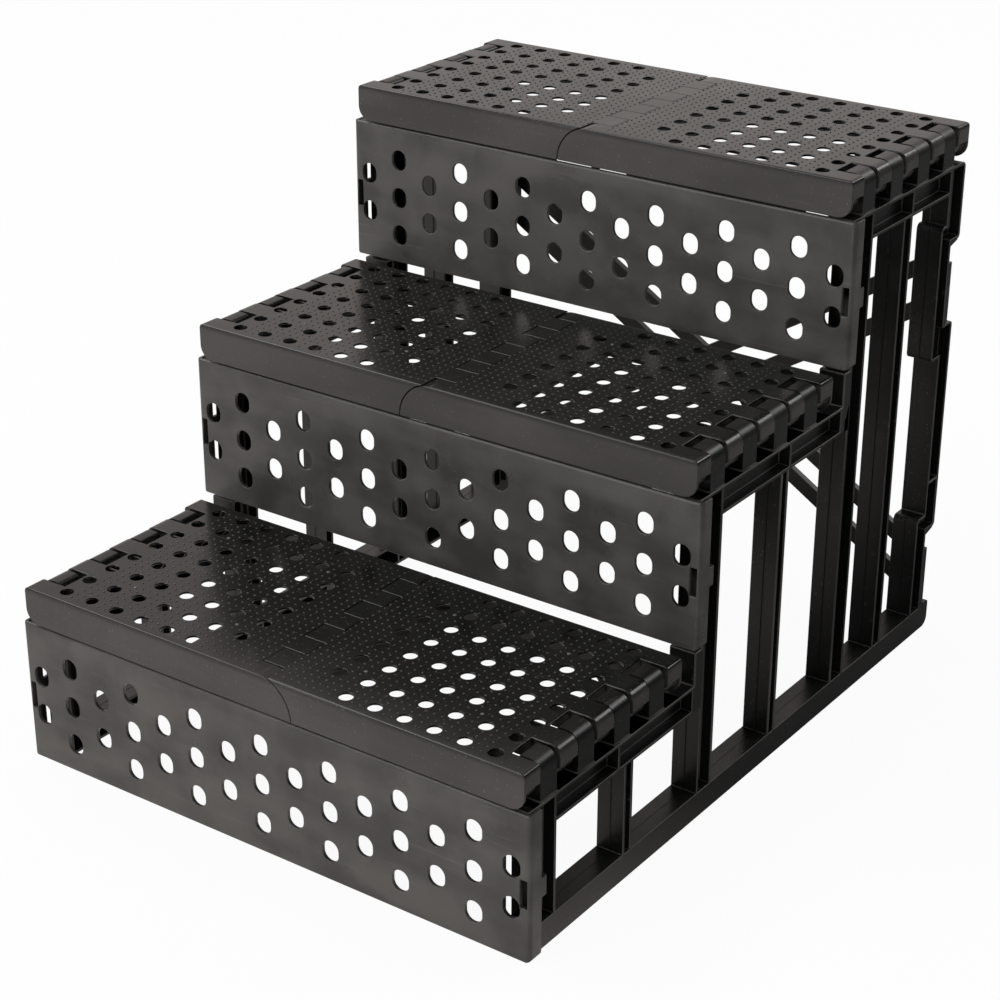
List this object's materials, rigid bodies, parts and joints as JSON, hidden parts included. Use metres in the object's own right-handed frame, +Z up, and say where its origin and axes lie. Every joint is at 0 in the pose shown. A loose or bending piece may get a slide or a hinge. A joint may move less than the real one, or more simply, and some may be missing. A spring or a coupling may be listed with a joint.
{
  "type": "pet stairs",
  "caption": "Folding plastic pet stairs with perforated treads and risers on ribbed side frames; each tread hinges at a finger seam and at both ends, with an X brace at the back",
  "frame": {"origin": "on the floor, in the middle of the stairs' overall width and depth", "axes": "+Z up, +Y from the lowest step toward the back, +X to the right of someone facing the stairs"},
  "size_m": [0.4, 0.519, 0.3775],
  "materials": {
    "frame": "moulded black plastic, slightly glossy",
    "tread": "moulded black plastic with a satin sheen",
    "riser": "moulded charcoal plastic, soft satin",
    "brace": "moulded black plastic",
    "rod": "plain drawn wire"
  },
  "bodies": {
    "frame_right": {"side_frame_right": "frame", "riser_1": "riser", "riser_2": "riser", "riser_3": "riser", "rear_brace": "brace", "hinge_rod_1_right": "rod", "hinge_rod_2_right": "rod", "hinge_rod_3_right": "rod"},
    "frame_left": {"side_frame_left": "frame", "hinge_rod_1_left": "rod", "hinge_rod_2_left": "rod", "hinge_rod_3_left": "rod"},
    "tread_1_right": {"tread_1_right": "tread", "hinge_rod_1_centre": "rod"},
    "tread_1_left": {"tread_1_left": "tread"},
    "tread_2_right": {"tread_2_right": "tread", "hinge_rod_2_centre": "rod"},
    "tread_2_left": {"tread_2_left": "tread"},
    "tread_3_right": {"tread_3_right": "tread", "hinge_rod_3_centre": "rod"},
    "tread_3_left": {"tread_3_left": "tread"}
  },
  "joints": [
    {"name": "fold", "type": "hinge", "parent": "frame_right", "child": "tread_3_right", "pos_m": [0.1855, 0.1735, 0.362], "axis": [0, 1, 0], "range_deg": [0, 86]},
    {"name": "tread_3_seam", "type": "hinge", "parent": "tread_3_right", "child": "tread_3_left", "pos_m": [0, 0.1735, 0.352], "axis": [0, 1, 0], "range_deg": [-172, 0]},
    {"name": "tread_3_left_hinge", "type": "hinge", "parent": "tread_3_left", "child": "frame_left", "pos_m": [-0.1855, 0.1735, 0.362], "axis": [0, 1, 0], "range_deg": [0, 86]},
    {"name": "tread_1_right_hinge", "type": "hinge", "parent": "frame_right", "child": "tread_1_right", "pos_m": [0.1855, -0.1765, 0.11], "axis": [0, 1, 0], "range_deg": [0, 86]},
    {"name": "tread_1_left_hinge", "type": "hinge", "parent": "frame_left", "child": "tread_1_left", "pos_m": [-0.1855, -0.1765, 0.11], "axis": [0, 1, 0], "range_deg": [-86, 0]},
    {"name": "tread_2_right_hinge", "type": "hinge", "parent": "frame_right", "child": "tread_2_right", "pos_m": [0.1855, -0.0015, 0.236], "axis": [0, 1, 0], "range_deg": [0, 86]},
    {"name": "tread_2_left_hinge", "type": "hinge", "parent": "frame_left", "child": "tread_2_left", "pos_m": [-0.1855, -0.0015, 0.236], "axis": [0, 1, 0], "range_deg": [-86, 0]}
  ],
  "couplings": [
    {"joint": "tread_3_seam", "follows": "fold", "ratio": -2},
    {"joint": "tread_3_left_hinge", "follows": "fold", "ratio": 1},
    {"joint": "tread_1_right_hinge", "follows": "fold", "ratio": 1},
    {"joint": "tread_1_left_hinge", "follows": "fold", "ratio": -1},
    {"joint": "tread_2_right_hinge", "follows": "fold", "ratio": 1},
    {"joint": "tread_2_left_hinge", "follows": "fold", "ratio": -1}
  ]
}
